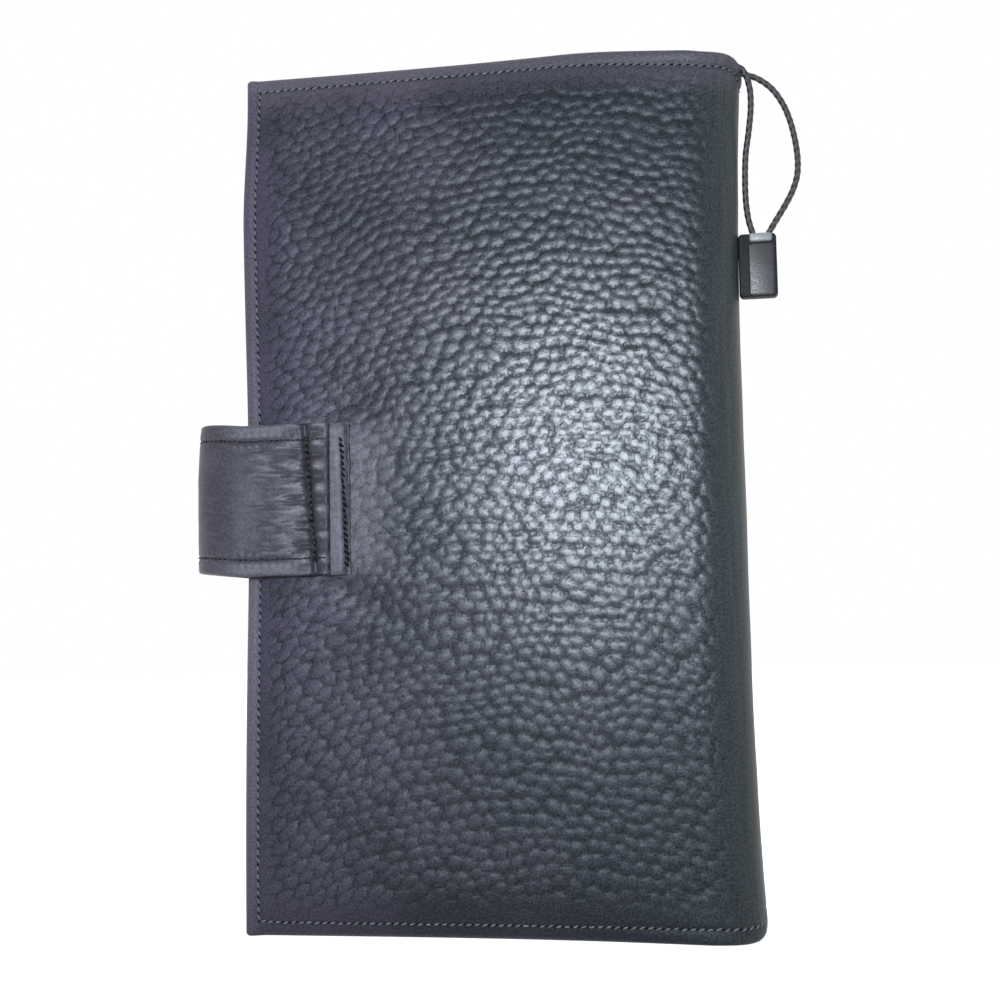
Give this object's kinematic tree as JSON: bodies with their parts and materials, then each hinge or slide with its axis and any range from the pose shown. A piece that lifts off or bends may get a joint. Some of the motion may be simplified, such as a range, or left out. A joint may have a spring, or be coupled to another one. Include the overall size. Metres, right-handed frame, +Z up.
{
  "type": "leather wallet",
  "caption": "Long upright leather wallet that opens like a book, with a wrap-over snap strap, card pockets, an identity window and a zipped middle with a cord pull.",
  "frame": {"origin": "centre of the footprint of the closed wallet without its pull, on the surface that its short end stands on", "axes": "+Z up along the spine, +X towards the spine, +Y towards the front cover that carries the snap"},
  "size_m": [0.1368, 0.0284, 0.19],
  "materials": {
    "grained_leather": "pebbled grain, dark blue-grey, soft sheen",
    "smooth_leather": "fine grain, dark blue-grey",
    "stiffener_board": "pressed board",
    "lining_cloth": "woven lining",
    "window_film": "clear film",
    "snap_metal": "dark plated",
    "zip_tape": "woven tape",
    "zip_nylon": "nylon coil",
    "zip_metal": "dark plated",
    "cord": "twisted cord",
    "moulded_plastic": "satin moulded"
  },
  "bodies": {
    "back": {"cover_back": "grained_leather", "board_back": "stiffener_board", "lining_back": "lining_cloth", "inner_panel_back": "smooth_leather", "card_pocket_back_1": "smooth_leather", "card_pocket_back_2": "smooth_leather", "card_pocket_back_3": "smooth_leather", "card_pocket_back_4": "smooth_leather", "card_pocket_back_5": "smooth_leather", "slip_pocket_back": "smooth_leather", "strap_underlay": "smooth_leather", "strap_base": "smooth_leather"},
    "spine": {"cover_spine": "grained_leather", "board_spine": "stiffener_board", "lining_spine": "lining_cloth", "zip_tape_back": "zip_tape", "zip_tape_front": "zip_tape", "zip_chain_back": "zip_nylon", "zip_chain_front": "zip_nylon", "zip_top_stop": "zip_metal", "zip_bottom_stop": "zip_metal"},
    "front": {"cover_front": "grained_leather", "board_front": "stiffener_board", "lining_front": "lining_cloth", "inner_panel_front": "smooth_leather", "card_pocket_front_1": "smooth_leather", "card_pocket_front_2": "smooth_leather", "card_pocket_front_3": "smooth_leather", "id_window_frame": "smooth_leather", "id_window_film": "window_film", "snap_stud": "snap_metal", "snap_rivet": "snap_metal"},
    "strap_loop": {"strap_wrap": "smooth_leather", "strap_wrap_lining": "smooth_leather"},
    "strap_tongue": {"strap_tongue": "smooth_leather", "strap_tongue_lining": "smooth_leather", "snap_cap": "snap_metal", "snap_socket": "snap_metal"},
    "slider": {"zip_slider": "zip_metal"},
    "pull": {"pull_cord": "cord", "pull_end": "moulded_plastic"}
  },
  "joints": [
    {"name": "open_back", "type": "hinge", "parent": "back", "child": "spine", "pos_m": [0.05798, -0.00975, 0], "axis": [0, 0, -1], "range_deg": [0, 90], "deforming": ["zip_tape_back"]},
    {"name": "open_front", "type": "hinge", "parent": "spine", "child": "front", "pos_m": [0.05798, 0.00581, 0], "axis": [0, 0, -1], "range_deg": [0, 90], "deforming": ["zip_tape_front"]},
    {"name": "strap_swing", "type": "hinge", "parent": "back", "child": "strap_loop", "pos_m": [-0.0468, -0.01381, 0.094], "axis": [0, 0, 1], "range_deg": [0, 60]},
    {"name": "strap_peel", "type": "hinge", "parent": "strap_loop", "child": "strap_tongue", "pos_m": [-0.0468, 0.01249, 0.094], "axis": [0, 0, 1], "range_deg": [0, 120]},
    {"name": "zip_slide", "type": "slide", "parent": "spine", "child": "slider", "axis": [0, 0, -1], "range_m": [0, 0.15], "deforming": ["pull_cord"]},
    {"name": "pull_swing", "type": "hinge", "parent": "spine", "child": "pull", "pos_m": [0.0612, -0.00197, 0.1834], "axis": [0, -1, 0], "range_deg": [0, 150], "deforming": ["pull_cord"]}
  ],
  "couplings": [
    {"joint": "open_front", "follows": "open_back", "ratio": 1},
    {"joint": "strap_swing", "follows": "strap_peel", "ratio": 0.5}
  ]
}
